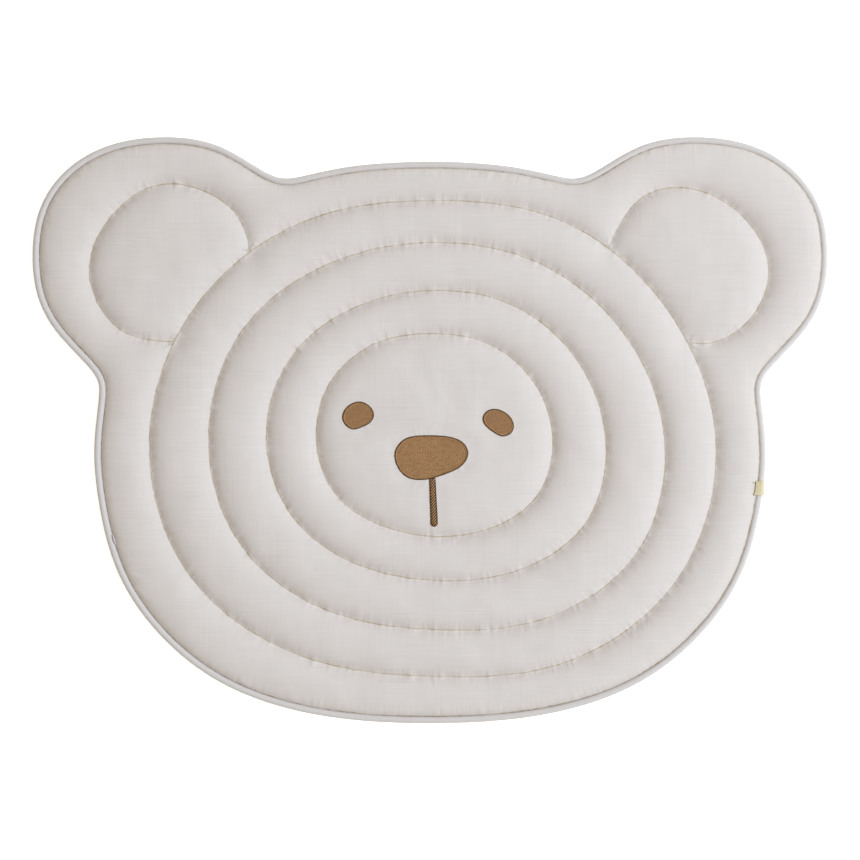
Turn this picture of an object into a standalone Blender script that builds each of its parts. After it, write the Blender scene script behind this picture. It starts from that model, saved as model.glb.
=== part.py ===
"""A quilted floor mat in the shape of a bear's head, lying flat with its face up.

The mat is one filled pad, sewn through along four oval rings and one arc in each ear, so that the
filling stands up in soft crowned bands between the stitching. A corded piping runs round its edge,
the eyes, nose and mouth are raised embroidery, and a small folded tape is sewn over the piping.

Metres, +Z up. The origin is on the floor under the middle of the mat, +Y points to the crown of the
head and +X to the right as seen from above.
"""

import math

import bmesh
import bpy
import numpy as np
from mathutils import Vector
from mathutils.geometry import delaunay_2d_cdt

CLEARANCE = 0.0003

# The pad: how thick it is at a crown, at the stitching and at its rim
SEAM_TOP = 0.0050
SEAM_LIFT = 0.0020
LOFT = 0.0160
LOFT_REACH = 0.0200
LOFT_ROUNDNESS = 0.50
RIM_TOP = 0.0080
RIM_LIFT = 0.0050
UNDERSIDE_ROLL = 0.0120

# The piping round the edge
PIPING_RADIUS = 0.0048
PIPING_HEIGHT = 0.0065

# Embroidery: thread raised above the cloth, which it draws down a little
THREAD_RISE = 0.0014
THREAD_EDGE_RISE = 0.0006
THREAD_EDGE = 0.0020
FACE_DIMPLE = 0.0018
FACE_DIMPLE_REACH = 0.0140

# Spacing of the points that carry the surfaces
SEAM_STEP = 0.0210
EAR_STEPS = 4
OUTLINE_STEPS = 4
UNDERSIDE_ROW = 0.0130
UNDERSIDE_GRID = 0.0900
SEAM_ROWS = (0.0050, 0.0150)
PAD_GRID = 0.0220
THREAD_GRID = 0.0090
ROW_CLEAR_SHARE = 0.85
GRID_CLEAR_SHARE = 0.35
SHARP_DEGREES = 50
TINY = 1e-12

# Right half of the mat's outer edge, from the crown down to the chin
HALF_OUTLINE = (
    # place, x, y
    ("crown", 0.0000, 0.3715),
    ("crown side", 0.1150, 0.3640),
    ("before upper notch", 0.1760, 0.3515),
    ("upper notch", 0.2085, 0.3495),
    ("ear rises", 0.2490, 0.3700),
    ("ear shoulder", 0.3000, 0.3960),
    ("ear top", 0.3700, 0.4055),
    ("ear upper side", 0.4450, 0.3935),
    ("ear corner", 0.5030, 0.3595),
    ("ear outer side", 0.5400, 0.3050),
    ("ear widest", 0.5500, 0.2350),
    ("ear lower side", 0.5405, 0.1780),
    ("ear turns in", 0.5150, 0.1335),
    ("ear foot", 0.4770, 0.0920),
    ("before side notch", 0.4600, 0.0680),
    ("side notch", 0.4585, 0.0430),
    ("cheek", 0.4645, -0.0200),
    ("cheek lower", 0.4590, -0.0960),
    ("jaw", 0.4335, -0.1930),
    ("jaw corner", 0.3760, -0.2810),
    ("chin corner", 0.2850, -0.3520),
    ("chin side", 0.1550, -0.3945),
    ("chin", 0.0000, -0.4060),
)

# The sewn rings, as how far each lies from their common middle at twelve even turns from +X
RING_MIDDLE = (0.0062, -0.0090)
RINGS = (
    # ring, distances at 0, 30, 60, 90, 120, 150, 180, 210, 240, 270, 300 and 330 degrees
    ("outer", (0.389, 0.366, 0.346, 0.3265, 0.3465, 0.375, 0.394, 0.389, 0.3535, 0.332, 0.361, 0.390)),
    ("second", (0.318, 0.2975, 0.2795, 0.2685, 0.279, 0.303, 0.3125, 0.3065, 0.281, 0.267, 0.293, 0.323)),
    ("third", (0.2365, 0.223, 0.211, 0.202, 0.209, 0.226, 0.2325, 0.225, 0.206, 0.199, 0.2165, 0.241)),
    ("inner", (0.1635, 0.1565, 0.1485, 0.1425, 0.151, 0.162, 0.1635, 0.1585, 0.143, 0.1385, 0.148, 0.164)),
)

# The sewn arc in each ear, from the outer ring round to it again
EAR_ARCS = (
    # ear, knots (x, y)
    ("left", ((-0.2477, 0.2442), (-0.2712, 0.3023), (-0.3452, 0.3397), (-0.4144, 0.3210),
              (-0.4711, 0.2283), (-0.4303, 0.1404), (-0.3521, 0.1218))),
    ("right", ((0.2456, 0.2497), (0.2864, 0.3155), (0.3425, 0.3355), (0.4186, 0.3079),
               (0.4684, 0.2262), (0.4372, 0.1474), (0.3867, 0.1204), (0.3563, 0.1211))),
)

# Each embroidered patch of the face: its middle, and the knots of its edge about that middle
FACE_PATCHES = (
    # node, middle (x, y), knots (x, y)
    ("eye_left", (-0.0991, 0.0201),
     ((0.0009, 0.0189), (0.0147, 0.0137), (0.0216, 0.0026), (0.0184, -0.0082), (0.0064, -0.0155),
      (-0.0074, -0.0191), (-0.0177, -0.0128), (-0.0218, -0.0024), (-0.0159, 0.0109))),
    ("eye_right", (0.0940, 0.0098),
     ((-0.0032, 0.0190), (0.0098, 0.0141), (0.0181, 0.0058), (0.0215, -0.0041), (0.0181, -0.0134),
      (0.0069, -0.0185), (-0.0048, -0.0140), (-0.0178, -0.0034), (-0.0214, 0.0064), (-0.0153, 0.0162))),
    ("nose", (0.0019, -0.0380),
     ((-0.0186, 0.0301), (0.0110, 0.0301), (0.0314, 0.0269), (0.0453, 0.0189), (0.0507, 0.0055),
      (0.0463, -0.0060), (0.0360, -0.0153), (0.0054, -0.0273), (-0.0103, -0.0305), (-0.0279, -0.0292),
      (-0.0427, -0.0190), (-0.0507, 0.0013), (-0.0470, 0.0153), (-0.0362, 0.0258))),
)
PATCH_STEPS = 3

# The mouth is a bar of satin stitch below the nose, a little wider at its round lower end
MOUTH_TOP = (0.0032, -0.0668)
MOUTH_TOP_WIDTH = 0.0084
MOUTH_TOP_SLANT = 0.20
MOUTH_END = (0.0057, -0.1284)
MOUTH_END_RADIUS = 0.0050
MOUTH_END_POINTS = 9
MOUTH_SIDE_POINTS = 7
MOUTH_RISE = 0.0022

# The folded tape, wrapped over the piping
TAPE_Y = -0.0803
TAPE_WIDTH = 0.0200
TAPE_THICKNESS = 0.0008
TAPE_WRAP_DEGREES = 128
TAPE_PROFILE_POINTS = 13
TAPE_NEIGHBOURS = 3

COLOURS = {
    # name: red, green, blue, roughness
    "linen": (0.70, 0.66, 0.62, 0.90),
    "piping_sateen": (0.72, 0.69, 0.68, 0.55),
    "brown_thread": (0.27, 0.16, 0.08, 0.55),
    "straw_tape": (0.74, 0.64, 0.36, 0.80),
}


def smooth_line(knots, steps, closed=True):
    """Points along the cubic spline through the knots, so many to each span."""
    knots = np.array(knots, float)
    count = len(knots)
    after = np.roll(knots, -1, axis=0)
    span = np.sqrt(np.linalg.norm(after - knots, axis=1))
    before_span = np.roll(span, 1)
    slope = (after - knots) / span[:, None]
    turn = 6 * (slope - np.roll(slope, 1, axis=0))
    matrix = np.diag(2 * (before_span + span))
    for i in range(count):
        matrix[i, (i + 1) % count] += span[i]
        matrix[i, (i - 1) % count] += before_span[i]
    if not closed:
        for end in (0, -1):
            matrix[end] = 0
            matrix[end, end] = 1
            turn[end] = 0
    bend = np.linalg.solve(matrix, turn)
    points = []
    for i in range(count if closed else count - 1):
        j = (i + 1) % count
        for s in np.linspace(0, 1, steps, endpoint=False):
            r = 1 - s
            curve = ((r**3 - r) * bend[i] + (s**3 - s) * bend[j]) * span[i] ** 2 / 6
            points.append(r * knots[i] + s * knots[j] + curve)
    if not closed:
        points.append(knots[-1])
    return np.array(points)


def outward(loop):
    """The unit normals of a closed line that runs clockwise, pointing out of it."""
    along = np.roll(loop, -1, axis=0) - np.roll(loop, 1, axis=0)
    along /= np.linalg.norm(along, axis=1)[:, None]
    return np.stack([-along[:, 1], along[:, 0]], axis=1)


def distance_to(points, line, closed=True):
    """How far each point is from the nearest place on the line."""
    starts = line if closed else line[:-1]
    ends = np.roll(line, -1, axis=0) if closed else line[1:]
    run = ends - starts
    best = np.full(len(points), np.inf)
    for start, step in zip(starts, run):
        share = np.clip((points - start) @ step / max(step @ step, TINY), 0, 1)
        gap = np.linalg.norm(points - start - share[:, None] * step, axis=1)
        best = np.minimum(best, gap)
    return best


def inside(points, loop):
    """True for each point that lies inside the closed line."""
    crossings = np.zeros(len(points), int)
    for (x0, y0), (x1, y1) in zip(loop, np.roll(loop, -1, axis=0)):
        spans = (y0 > points[:, 1]) != (y1 > points[:, 1])
        rise = y1 - y0 if abs(y1 - y0) > TINY else TINY
        crosses = points[:, 0] < x0 + (points[:, 1] - y0) / rise * (x1 - x0)
        crossings += spans & crosses
    return crossings % 2 == 1


def outline():
    """The mat's outer edge, clockwise from the crown."""
    right = [(x, y) for _, x, y in HALF_OUTLINE]
    left = [(-x, y) for x, y in right[-2:0:-1]]
    return smooth_line(right + left, OUTLINE_STEPS)


def ring(distances):
    """A closed sewn line through points at even turns about the rings' middle."""
    turns = np.arange(len(distances)) * 2 * math.pi / len(distances)
    knots = [
        (RING_MIDDLE[0] + d * math.cos(t), RING_MIDDLE[1] + d * math.sin(t))
        for t, d in zip(turns, distances)
    ]
    knot_gap = 2 * math.pi * sum(distances) / len(distances) ** 2
    return smooth_line(knots, round(knot_gap / SEAM_STEP))


def sewn_lines():
    """(points, closed) of each line of quilting. The ears' arcs end on points of the outer ring."""
    rings = [ring(distances) for _, distances in RINGS]
    lines = []
    for _, knots in EAR_ARCS:
        arc = smooth_line(knots, EAR_STEPS, closed=False)
        for end in (arc[0], arc[-1]):
            nearest = np.argmin(np.linalg.norm(rings[0] - end, axis=1))
            rings[0][nearest] = end
        lines.append((arc, False))
    return [(r, True) for r in rings] + lines


def patch_edge(middle, knots):
    """The edge of one embroidered patch of the face, clockwise."""
    return smooth_line(knots, PATCH_STEPS) + np.array(middle)


def mouth_edge():
    """The edge of the mouth, clockwise: a slanted top along the nose and a round lower end."""
    half = MOUTH_TOP_WIDTH / 2
    top_left = Vector(MOUTH_TOP) + Vector((-half, -half * MOUTH_TOP_SLANT))
    top_right = Vector(MOUTH_TOP) + Vector((half, half * MOUTH_TOP_SLANT))
    end = Vector(MOUTH_END)
    arc = [
        end + MOUTH_END_RADIUS * Vector((math.cos(t), -math.sin(t)))
        for t in np.linspace(0, math.pi, MOUTH_END_POINTS)
    ]
    shares = np.arange(1, MOUTH_SIDE_POINTS) / MOUTH_SIDE_POINTS
    right_side = [top_right.lerp(arc[0], share) for share in shares]
    left_side = [arc[-1].lerp(top_left, share) for share in shares]
    edge = [top_left, Vector(MOUTH_TOP), top_right, *right_side, *arc, *left_side]
    return np.array([tuple(point) for point in edge])


class Surface:
    """The heights of the pad's two faces at any place on the mat."""

    def __init__(self, rim, lines, motifs):
        self.rim = rim
        self.lines = lines
        self.motifs = motifs

    def top(self, points):
        from_rim = distance_to(points, self.rim)
        fill = 1 - np.exp(-from_rim / LOFT_REACH)
        for line, closed in self.lines:
            fill *= 1 - np.exp(-distance_to(points, line, closed) / LOFT_REACH)
        base = SEAM_TOP + (RIM_TOP - SEAM_TOP) * np.exp(-from_rim / LOFT_REACH)
        return base + LOFT * fill**LOFT_ROUNDNESS - self.dimple(points)

    def dimple(self, points):
        depth = np.zeros(len(points))
        for motif in self.motifs:
            away = np.where(inside(points, motif), 0, distance_to(points, motif))
            depth = np.maximum(depth, FACE_DIMPLE * np.exp(-((away / FACE_DIMPLE_REACH) ** 2)))
        return depth

    def underside(self, points):
        height = RIM_LIFT * self.roll(distance_to(points, self.rim))
        for line, closed in self.lines:
            lift = SEAM_LIFT * self.roll(distance_to(points, line, closed))
            height = np.maximum(height, lift)
        return height

    @staticmethod
    def roll(away):
        """1 on a sewn line, falling to 0 where the underside lies flat on the floor."""
        return np.clip(1 - away / UNDERSIDE_ROLL, 0, 1) ** 2


def side_rows(line, closed, distances):
    """Points beside a line, at each of the distances to its left and right."""
    if closed:
        normal = outward(line)
    else:
        along = np.gradient(line, axis=0)
        along /= np.linalg.norm(along, axis=1)[:, None]
        normal = np.stack([-along[:, 1], along[:, 0]], axis=1)
    return [(line + normal * d * way, d) for d in distances for way in (1, -1)]


def hex_grid(rim, spacing):
    """Evenly spread points over the rim's box."""
    low, high = rim.min(axis=0), rim.max(axis=0)
    rows = int((high[1] - low[1]) / (spacing * math.sqrt(3) / 2)) + 1
    columns = int((high[0] - low[0]) / spacing) + 2
    return np.array([
        (low[0] + (c + 0.5 * (r % 2)) * spacing, low[1] + r * spacing * math.sqrt(3) / 2)
        for r in range(rows)
        for c in range(columns)
    ])


def triangulated(rim, lines, row_distances, spacing, extra=()):
    """(points, faces) of the cloth inside the rim. Triangles follow every line and the rows beside it."""
    every_line = [(rim, True), *lines]
    kept = []
    for line, closed in every_line:
        for row, away in side_rows(line, closed, row_distances):
            clear = inside(row, rim)
            for other, other_closed in every_line:
                clear &= distance_to(row, other, other_closed) > ROW_CLEAR_SHARE * away
            kept.append(row[clear])
    kept.extend(extra)
    far = max(row_distances)
    grid = hex_grid(rim, spacing)
    clear = inside(grid, rim)
    for other, closed in [*every_line, *[(e, True) for e in extra]]:
        clear &= distance_to(grid, other, closed) > far + GRID_CLEAR_SHARE * spacing
    kept.append(grid[clear])
    points, edges = [], []
    for line, closed in every_line:
        first = len(points)
        points.extend(line)
        edges.extend((first + i, first + i + 1) for i in range(len(line) - 1))
        if closed:
            edges.append((first + len(line) - 1, first))
    points.extend(np.concatenate(kept))
    made = delaunay_2d_cdt([Vector(p) for p in points], edges, [], 1, 1e-6)
    return np.array([tuple(v) for v in made[0]]), made[2]


def add_sheet(mesh, points, heights, faces):
    """Adds one face of a pad to the bmesh and returns its open edges."""
    corners = [mesh.verts.new((x, y, z)) for (x, y), z in zip(points, heights)]
    made = [mesh.faces.new([corners[i] for i in face]) for face in faces]
    return [e for f in made for e in f.edges if len(e.link_faces) == 1]


def filled_solid(name, top, bottom, collection, material):
    """One closed solid between two faces that share a rim. Each is points, heights and triangles."""
    mesh = bmesh.new()
    open_edges = add_sheet(mesh, *top) + add_sheet(mesh, *bottom)
    bmesh.ops.bridge_loops(mesh, edges=open_edges)
    bmesh.ops.triangulate(mesh, faces=mesh.faces)
    bmesh.ops.recalc_face_normals(mesh, faces=mesh.faces)
    return finished(name, mesh, collection, material)


def finished(name, mesh, collection, material):
    """An object made from the bmesh, shaded smooth but for its sharp edges."""
    data = bpy.data.meshes.new(name)
    mesh.to_mesh(data)
    mesh.free()
    data.materials.append(material)
    data.shade_smooth()
    data.set_sharp_from_angle(angle=math.radians(SHARP_DEGREES))
    thing = bpy.data.objects.new(name, data)
    collection.objects.link(thing)
    return thing


def make_pad(surface, motifs, collection, material):
    """The filled, quilted body of the mat."""
    points, faces = triangulated(surface.rim, surface.lines, SEAM_ROWS, PAD_GRID, motifs)
    top = (points, surface.top(points), faces)
    rows = (UNDERSIDE_ROW,)
    points, faces = triangulated(surface.rim, surface.lines, rows, UNDERSIDE_GRID)
    bottom = (points, surface.underside(points), faces)
    return filled_solid("pad", top, bottom, collection, material)


def make_piping(edge, collection, material):
    """The corded piping, one closed tube just outside the pad's rim."""
    centre = edge - outward(edge) * PIPING_RADIUS
    curve = bpy.data.curves.new("piping", "CURVE")
    curve.dimensions = "3D"
    curve.bevel_depth = PIPING_RADIUS
    curve.bevel_resolution = 2
    spline = curve.splines.new("POLY")
    spline.points.add(len(centre) - 1)
    for point, (x, y) in zip(spline.points, centre):
        point.co = (x, y, PIPING_HEIGHT, 1)
    spline.use_cyclic_u = True
    curve.materials.append(material)
    piping = bpy.data.objects.new("piping", curve)
    collection.objects.link(piping)
    return piping


def make_embroidery(name, rim, rise, surface, collection, material):
    """A raised motif of stitched thread, a hair above the cloth and rounded down to its edge."""
    rows = (THREAD_EDGE,)
    points, faces = triangulated(rim, [], rows, THREAD_GRID)
    ground = surface.top(points) + CLEARANCE
    share = np.clip(distance_to(points, rim) / THREAD_EDGE, 0, 1)
    crown = ground + THREAD_EDGE_RISE + (rise - THREAD_EDGE_RISE) * share
    return filled_solid(name, (points, crown, faces), (points, ground, faces), collection, material)


def tape_stations(edge):
    """(place, outward direction) along the piping's centre where the tape crosses it."""
    normal = outward(edge)
    centre = edge - normal * PIPING_RADIUS
    right = centre[:, 0] > 0
    middle = np.argmin(np.where(right, np.abs(centre[:, 1] - TAPE_Y), np.inf))
    order = [(middle + i) % len(centre) for i in range(-TAPE_NEIGHBOURS, TAPE_NEIGHBOURS + 1)]
    line, out = centre[order], normal[order]
    along = np.concatenate([[0], np.cumsum(np.linalg.norm(np.diff(line, axis=0), axis=1))])
    at = np.interp(-TAPE_Y, -line[:, 1], along)
    inner = [s for s in along if abs(s - at) < TAPE_WIDTH / 2 - CLEARANCE]
    stops = [at - TAPE_WIDTH / 2, *inner, at + TAPE_WIDTH / 2]

    def at_stop(values):
        return np.stack([np.interp(stops, along, values[:, k]) for k in (0, 1)], axis=1)

    return list(zip(at_stop(line), at_stop(out)))


def make_tape(edge, collection, material):
    """A strip of tape folded over the piping, with both ends tucked into the seam beside it."""
    inner = PIPING_RADIUS + CLEARANCE
    mesh = bmesh.new()
    previous = None
    for place, out in tape_stations(edge):
        out = out / np.linalg.norm(out)
        row = []
        for i in range(TAPE_PROFILE_POINTS):
            turn = math.radians(TAPE_WRAP_DEGREES) * (1 - 2 * i / (TAPE_PROFILE_POINTS - 1))
            x, y = place + out * inner * math.cos(turn)
            row.append(mesh.verts.new((x, y, PIPING_HEIGHT + inner * math.sin(turn))))
        if previous:
            for i in range(TAPE_PROFILE_POINTS - 1):
                mesh.faces.new((previous[i], row[i], row[i + 1], previous[i + 1]))
        previous = row
    bmesh.ops.recalc_face_normals(mesh, faces=mesh.faces)
    tape = finished("side_tape", mesh, collection, material)
    solid = tape.modifiers.new("tape thickness", "SOLIDIFY")
    solid.thickness = TAPE_THICKNESS
    solid.offset = 1.0
    return tape


def materials():
    """One Principled material for each cloth and thread."""
    made = {}
    for name, (red, green, blue, roughness) in COLOURS.items():
        material = bpy.data.materials.new(name)
        material.use_nodes = True
        shader = material.node_tree.nodes["Principled BSDF"]
        shader.inputs["Base Color"].default_value = (red, green, blue, 1)
        shader.inputs["Roughness"].default_value = roughness
        shader.inputs["Metallic"].default_value = 0
        made[name] = material
    return made


def main():
    for thing in list(bpy.data.objects):
        bpy.data.objects.remove(thing)
    mat = bpy.data.collections.new("bear mat")
    bpy.context.scene.collection.children.link(mat)
    cloth = materials()

    edge = outline()
    rim = edge - outward(edge) * (2 * PIPING_RADIUS + CLEARANCE)
    motifs = {name: patch_edge(middle, knots) for name, middle, knots in FACE_PATCHES}
    motifs["mouth"] = mouth_edge()
    surface = Surface(rim, sewn_lines(), list(motifs.values()))

    make_pad(surface, list(motifs.values()), mat, cloth["linen"])
    make_piping(edge, mat, cloth["piping_sateen"])
    for name, motif in motifs.items():
        rise = MOUTH_RISE if name == "mouth" else THREAD_RISE
        make_embroidery(name, motif, rise, surface, mat, cloth["brown_thread"])
    make_tape(edge, mat, cloth["straw_tape"])


main()
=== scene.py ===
"""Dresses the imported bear-shaped floor mat in cloth, filling, stitching and embroidery.

Each piece of the mat has its own operator in the sidebar of the 3D view, and its sizes and colours are
properties of the scene. Metres, +Z up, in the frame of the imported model: the origin is on the floor under
the middle of the mat, +Y points to the crown of the head and +X to the right as seen from above.
"""

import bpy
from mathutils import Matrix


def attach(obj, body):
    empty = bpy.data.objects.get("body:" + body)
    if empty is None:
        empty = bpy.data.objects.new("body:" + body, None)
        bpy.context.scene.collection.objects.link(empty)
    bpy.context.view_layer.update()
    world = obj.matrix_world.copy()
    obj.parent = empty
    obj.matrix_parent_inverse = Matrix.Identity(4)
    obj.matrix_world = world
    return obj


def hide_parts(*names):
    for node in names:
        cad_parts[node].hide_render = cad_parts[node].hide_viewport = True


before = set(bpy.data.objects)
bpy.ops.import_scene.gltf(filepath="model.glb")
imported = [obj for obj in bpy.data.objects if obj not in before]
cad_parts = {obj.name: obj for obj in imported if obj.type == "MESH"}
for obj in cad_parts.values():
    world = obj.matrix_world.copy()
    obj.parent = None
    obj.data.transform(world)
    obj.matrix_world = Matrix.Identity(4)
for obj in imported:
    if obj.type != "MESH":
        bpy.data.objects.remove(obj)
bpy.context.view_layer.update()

import math

import bmesh
import bpy
import numpy as np
from mathutils import Vector, noise
from mathutils.geometry import delaunay_2d_cdt
from mathutils.kdtree import KDTree

bl_info = {
    "name": "Bear Mat Maker",
    "version": (1, 0, 0),
    "blender": (4, 5, 0),
    "location": "View3D > Sidebar > Bear Mat",
    "description": "Makes a quilted floor mat in the shape of a bear's head, one piece at a time",
    "category": "Add Mesh",
}

BODY = "root"
CLEARANCE = 0.0003
TINY = 1e-12

# Right half of the mat's outer edge, from the crown down to the chin
HALF_OUTLINE = (
    # place, x, y
    ("crown", 0.0000, 0.3715),
    ("crown side", 0.1150, 0.3640),
    ("before upper notch", 0.1760, 0.3515),
    ("upper notch", 0.2085, 0.3495),
    ("ear rises", 0.2490, 0.3700),
    ("ear shoulder", 0.3000, 0.3960),
    ("ear top", 0.3700, 0.4055),
    ("ear upper side", 0.4450, 0.3935),
    ("ear corner", 0.5030, 0.3595),
    ("ear outer side", 0.5400, 0.3050),
    ("ear widest", 0.5500, 0.2350),
    ("ear lower side", 0.5405, 0.1780),
    ("ear turns in", 0.5150, 0.1335),
    ("ear foot", 0.4770, 0.0920),
    ("before side notch", 0.4600, 0.0680),
    ("side notch", 0.4585, 0.0430),
    ("cheek", 0.4645, -0.0200),
    ("cheek lower", 0.4590, -0.0960),
    ("jaw", 0.4335, -0.1930),
    ("jaw corner", 0.3760, -0.2810),
    ("chin corner", 0.2850, -0.3520),
    ("chin side", 0.1550, -0.3945),
    ("chin", 0.0000, -0.4060),
)

# The sewn rings, as how far each lies from their common middle at twelve even turns from +X
RING_MIDDLE = (0.0062, -0.0090)
RINGS = (
    # ring, distances at 0, 30, 60, 90, 120, 150, 180, 210, 240, 270, 300 and 330 degrees
    ("outer", (0.389, 0.366, 0.346, 0.3265, 0.3465, 0.375, 0.394, 0.389, 0.3535, 0.332, 0.361, 0.390)),
    ("second", (0.318, 0.2975, 0.2795, 0.2685, 0.279, 0.303, 0.3125, 0.3065, 0.281, 0.267, 0.293, 0.323)),
    ("third", (0.2365, 0.223, 0.211, 0.202, 0.209, 0.226, 0.2325, 0.225, 0.206, 0.199, 0.2165, 0.241)),
    ("inner", (0.1635, 0.1565, 0.1485, 0.1425, 0.151, 0.162, 0.1635, 0.1585, 0.143, 0.1385, 0.148, 0.164)),
)

# The sewn arc in each ear, from the outer ring round to it again
EAR_ARCS = (
    # ear, knots (x, y)
    ("left", ((-0.2477, 0.2442), (-0.2712, 0.3023), (-0.3452, 0.3397), (-0.4144, 0.3210),
              (-0.4711, 0.2283), (-0.4303, 0.1404), (-0.3521, 0.1218))),
    ("right", ((0.2456, 0.2497), (0.2864, 0.3155), (0.3425, 0.3355), (0.4186, 0.3079),
               (0.4684, 0.2262), (0.4372, 0.1474), (0.3867, 0.1204), (0.3563, 0.1211))),
)

# Each embroidered patch of the face: its middle, and the knots of its edge about that middle
FACE_PATCHES = (
    # node, middle (x, y), knots (x, y)
    ("eye_left", (-0.0991, 0.0201),
     ((0.0009, 0.0189), (0.0147, 0.0137), (0.0216, 0.0026), (0.0184, -0.0082), (0.0064, -0.0155),
      (-0.0074, -0.0191), (-0.0177, -0.0128), (-0.0218, -0.0024), (-0.0159, 0.0109))),
    ("eye_right", (0.0940, 0.0098),
     ((-0.0032, 0.0190), (0.0098, 0.0141), (0.0181, 0.0058), (0.0215, -0.0041), (0.0181, -0.0134),
      (0.0069, -0.0185), (-0.0048, -0.0140), (-0.0178, -0.0034), (-0.0214, 0.0064), (-0.0153, 0.0162))),
    ("nose", (0.0019, -0.0380),
     ((-0.0186, 0.0301), (0.0110, 0.0301), (0.0314, 0.0269), (0.0453, 0.0189), (0.0507, 0.0055),
      (0.0463, -0.0060), (0.0360, -0.0153), (0.0054, -0.0273), (-0.0103, -0.0305), (-0.0279, -0.0292),
      (-0.0427, -0.0190), (-0.0507, 0.0013), (-0.0470, 0.0153), (-0.0362, 0.0258))),
)

# The mouth: a bar below the nose, a little wider at its round lower end
MOUTH_TOP = (0.0032, -0.0668)
MOUTH_TOP_WIDTH = 0.0084
MOUTH_TOP_SLANT = 0.20
MOUTH_END = (0.0057, -0.1284)
MOUTH_END_RADIUS = 0.0050

# Soft folds in the cloth that the rows of gathers don't make
FOLDS = (
    # from (x, y), to (x, y), half width, height
    ((0.0010, 0.0830), (0.0160, 0.0420), 0.0060, 0.0005),
    ((0.0030, -0.1340), (0.0080, -0.1480), 0.0030, 0.0006),
    ((-0.4140, -0.1980), (-0.3960, -0.2060), 0.0035, 0.0007),
    ((-0.4050, -0.2220), (-0.3830, -0.2360), 0.0035, 0.0007),
)

# Where the two ends of the piping meet, and the fold of cloth that covers the meeting
PIPING_JOIN = ((-0.4385, -0.1440), (-0.4362, -0.1515), (-0.4338, -0.1590))

# The end of the thread that tacks the tape down, which shows on the pad beside it
TAPE_TACK = ((0.4457, -0.0734), (0.4462, -0.0731), (0.4467, -0.0728), (0.4471, -0.0725))

# The way in which the rim is drawn down less and less by its stitches
SLACK_WAY = (0.6, 0.8)

# How the cloth gathers beside each kind of line
GATHERS = {
    # line: (share of the gathers' height, distance between them, reach)
    "rim": (1.25, 0.0052, 0.0040),
    "seam": (1.0, 0.0046, 0.0042),
    "face": (1.5, 0.0030, 0.0030),
}

# Lengths in metres over which the uneven things of hand-fed sewing come and go
WAVES = {
    "drift patches": 0.060,
    "fine drift": 0.0050,
    "gather slant": 0.05,
    "gather patches": 0.040,
    "slack stitches": 0.016,
    "single stitches": 0.0052,
    "lumps": 0.045,
    "small lumps": 0.018,
    "scallop patches": 0.050,
    "scallops": 0.015,
    "small scallops": 0.0050,
    "cord swell": 0.009,
    "small cord swell": 0.004,
    "cord drift": 0.020,
    "border": 0.009,
    "stitch tone": 0.0021,
}

# Rows of points beside each seam, and how far from it the upper cloth keeps its finest points
SEAM_ROWS = (0.0006, 0.0017)
FINE_REACH = 0.014

# How far from a line the stitches' uneven pull and the rim's lean are worked out
PULL_REACH = 0.022
LEAN_REACH = 0.030

# How far in from the rim the pad's edge still leans against the round piping
LEAN_FADE = 0.012

# The mouth's strands: the shortest that is laid, and the length from which they reach their full height
SHORTEST_STRAND = 0.0015
FULL_STRAND = 0.008

# Half the thickness of the tack's thread, and how far the tape reaches out over the cord
TACK_RADIUS = 0.0006
TAPE_REACH = 0.0081

LINE_SPACING = 0.0024
KNOT_STEPS = 24
SHARP_ANGLE = math.radians(50)

# The studio: its light from the right, the glow from all round, and the floor
KEY_PLACE = (4.0, 0.25, 5.7)
KEY_COLOUR = (0.80, 0.92, 1.0)
GLOW_COLOUR = (1.0, 0.875, 0.63, 1)
FLOOR_GLOW = 0.60
FLOOR_HALF_WIDTH = 4.0
FLOOR_DROP = 0.0003
SENSOR_WIDTH = 36


def distance(name, description, value, least=0.0):
    """A length in metres, shown in the sidebar in the scene's unit."""
    return bpy.props.FloatProperty(
        name=name, description=description, default=value, min=least,
        subtype="DISTANCE", unit="LENGTH", precision=5)


def colour(name, description, value):
    """A colour with its three channels from 0 to 1."""
    return bpy.props.FloatVectorProperty(
        name=name, description=description, default=value, size=3, min=0, max=1, subtype="COLOR")


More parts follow.
